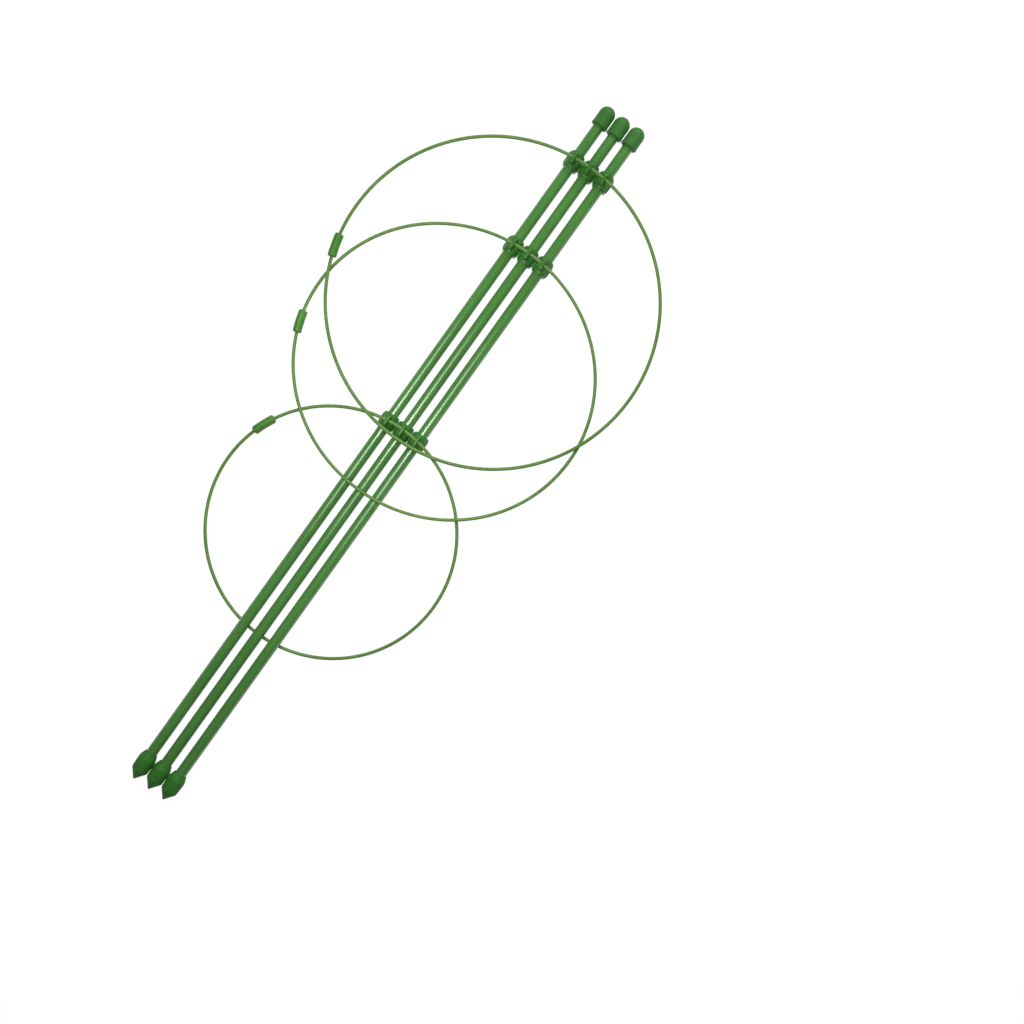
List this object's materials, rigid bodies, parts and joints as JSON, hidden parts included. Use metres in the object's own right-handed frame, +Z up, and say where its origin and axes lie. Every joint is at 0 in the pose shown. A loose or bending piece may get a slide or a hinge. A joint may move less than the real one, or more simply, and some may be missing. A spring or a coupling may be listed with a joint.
{
  "type": "plant support cage",
  "caption": "Folding plant support cage: pointed coated poles joined by wire rings on sliding, swivelling clips, lying folded flat.",
  "frame": {"origin": "on the floor under the middle of the folded cage", "axes": "+Y along the poles towards their caps, +X across the poles, +Z up from the floor"},
  "size_m": [0.2434, 0.6, 0.024],
  "materials": {
    "pole_coat": "mid-green satin plastic coat",
    "steel_tube": "plain thin-walled steel tube",
    "cap_plastic": "dark green moulded plastic",
    "tip_plastic": "dark green moulded plastic",
    "clip_plastic": "green moulded plastic",
    "ring_wire": "yellow-green plastic coat on steel wire",
    "joiner_plastic": "green moulded plastic"
  },
  "bodies": {
    "poles": {"pole_coat_left": "pole_coat", "pole_coat_centre": "pole_coat", "pole_coat_right": "pole_coat", "pole_tube_left": "steel_tube", "pole_tube_centre": "steel_tube", "pole_tube_right": "steel_tube", "pole_cap_left": "cap_plastic", "pole_cap_centre": "cap_plastic", "pole_cap_right": "cap_plastic", "pole_tip_left": "tip_plastic", "pole_tip_centre": "tip_plastic", "pole_tip_right": "tip_plastic"},
    "ring_1_clips": {"ring_1_clip_left": "clip_plastic", "ring_1_clip_centre": "clip_plastic", "ring_1_clip_right": "clip_plastic"},
    "ring_2_clips": {"ring_2_clip_left": "clip_plastic", "ring_2_clip_centre": "clip_plastic", "ring_2_clip_right": "clip_plastic"},
    "ring_3_clips": {"ring_3_clip_left": "clip_plastic", "ring_3_clip_centre": "clip_plastic", "ring_3_clip_right": "clip_plastic"},
    "ring_1": {"ring_1_wire": "ring_wire", "ring_1_joiner": "joiner_plastic"},
    "ring_2": {"ring_2_wire": "ring_wire", "ring_2_joiner": "joiner_plastic"},
    "ring_3": {"ring_3_wire": "ring_wire", "ring_3_joiner": "joiner_plastic"}
  },
  "joints": [
    {"name": "ring_1_height", "type": "slide", "parent": "poles", "child": "ring_1_clips", "axis": [0, 1, 0], "range_m": [-0.024, 0]},
    {"name": "ring_2_height", "type": "slide", "parent": "poles", "child": "ring_2_clips", "axis": [0, 1, 0], "range_m": [-0.022, 0]},
    {"name": "ring_3_height", "type": "slide", "parent": "poles", "child": "ring_3_clips", "axis": [0, 1, 0], "range_m": [0, 0.022]},
    {"name": "ring_1_swing", "type": "hinge", "parent": "ring_1_clips", "child": "ring_1", "pos_m": [0, 0.2532, 0.0152], "axis": [-1, 0, 0], "range_deg": [0, 180]},
    {"name": "ring_2_swing", "type": "hinge", "parent": "ring_2_clips", "child": "ring_2", "pos_m": [0, 0.1772, 0.0152], "axis": [-1, 0, 0], "range_deg": [0, 169.2]},
    {"name": "ring_3_swing", "type": "hinge", "parent": "ring_3_clips", "child": "ring_3", "pos_m": [0, 0.0204, 0.0152], "axis": [1, 0, 0], "range_deg": [0, 85.7]}
  ],
  "couplings": [
    {"joint": "ring_2_swing", "follows": "ring_1_swing", "ratio": 0.94}
  ]
}
